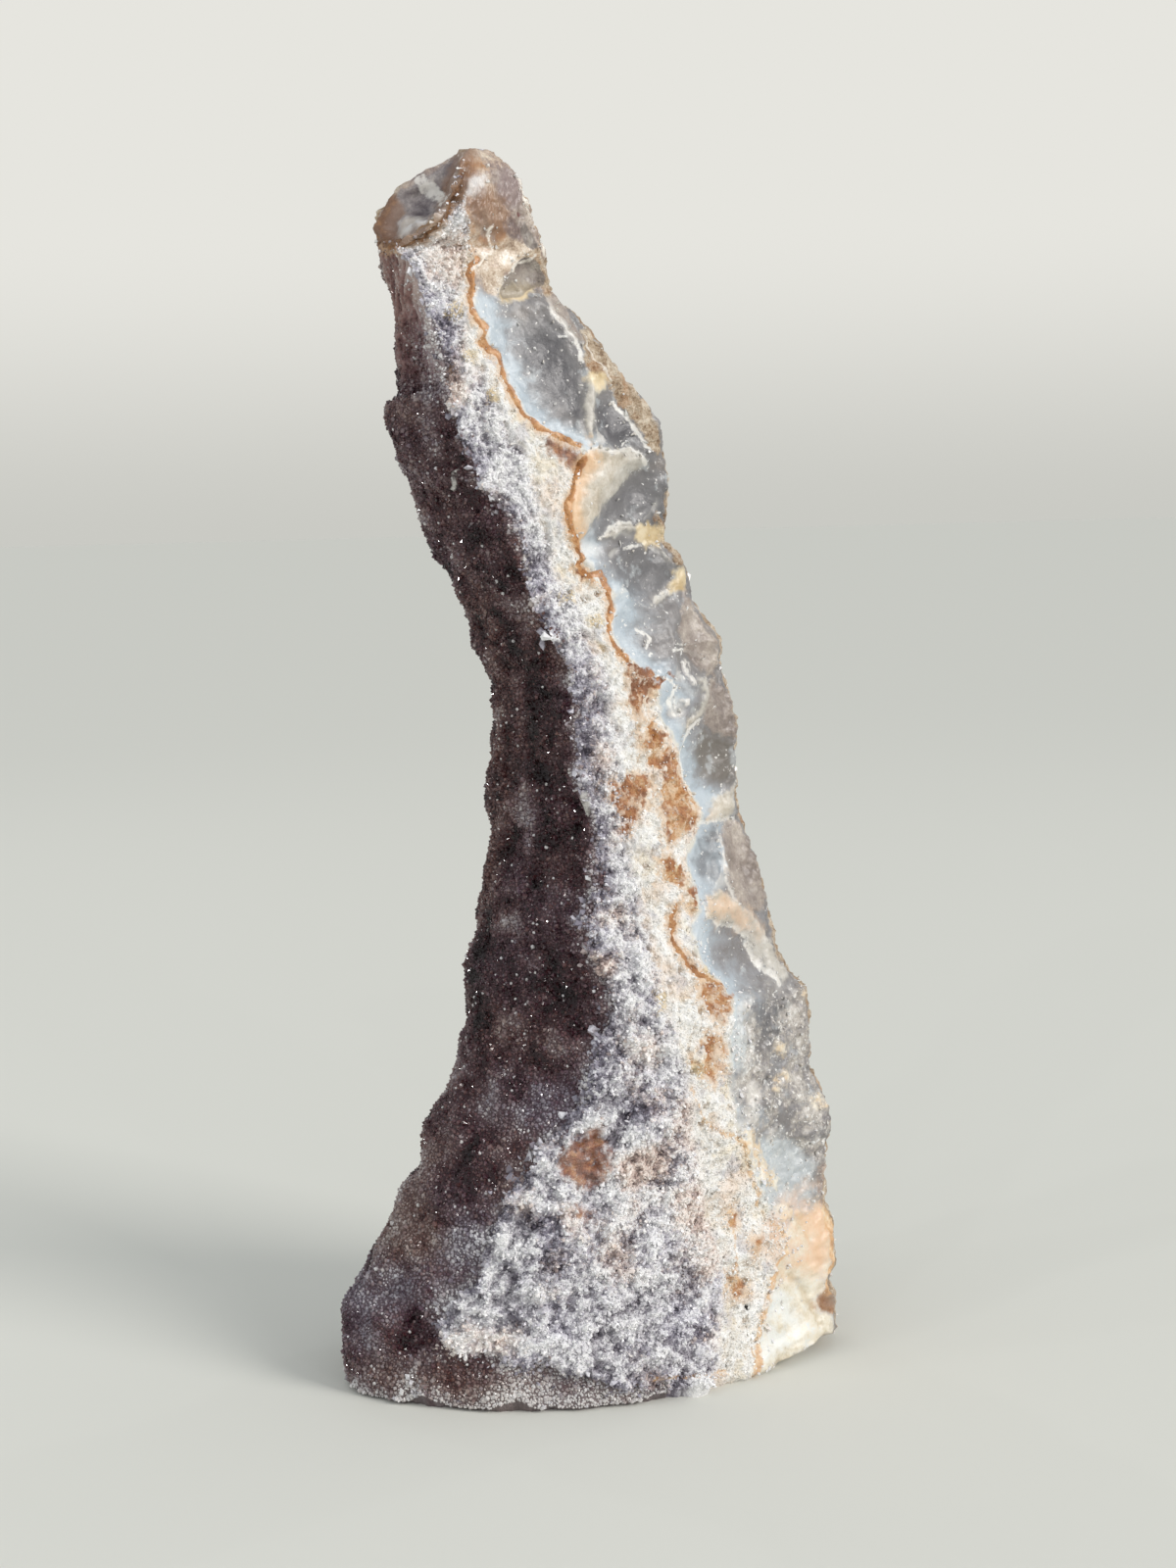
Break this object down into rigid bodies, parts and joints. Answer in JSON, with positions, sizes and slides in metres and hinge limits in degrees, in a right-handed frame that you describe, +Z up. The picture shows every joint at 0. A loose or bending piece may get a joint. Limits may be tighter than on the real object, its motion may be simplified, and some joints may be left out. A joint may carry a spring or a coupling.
{
  "type": "amethyst cluster specimen",
  "caption": "Tall leaning slab of amethyst geode wall standing on its flat broken end: purple druse on one side, banded quartz and chalcedony on the broken faces.",
  "frame": {"origin": "centre of the specimen's bounding box, on the plane it rests on", "axes": "+Z up along the specimen's height; -Y towards the viewer of the broken layered face; -X towards the druse side"},
  "size_m": [0.124, 0.0832, 0.3],
  "materials": {
    "amethyst_stone": "sparkling dark purple druse, sugary lavender-white quartz, cream and rust layer, glassy blue-grey chalcedony and rough brown rind"
  },
  "bodies": {
    "root": {"amethyst_specimen": "amethyst_stone"}
  },
  "joints": []
}
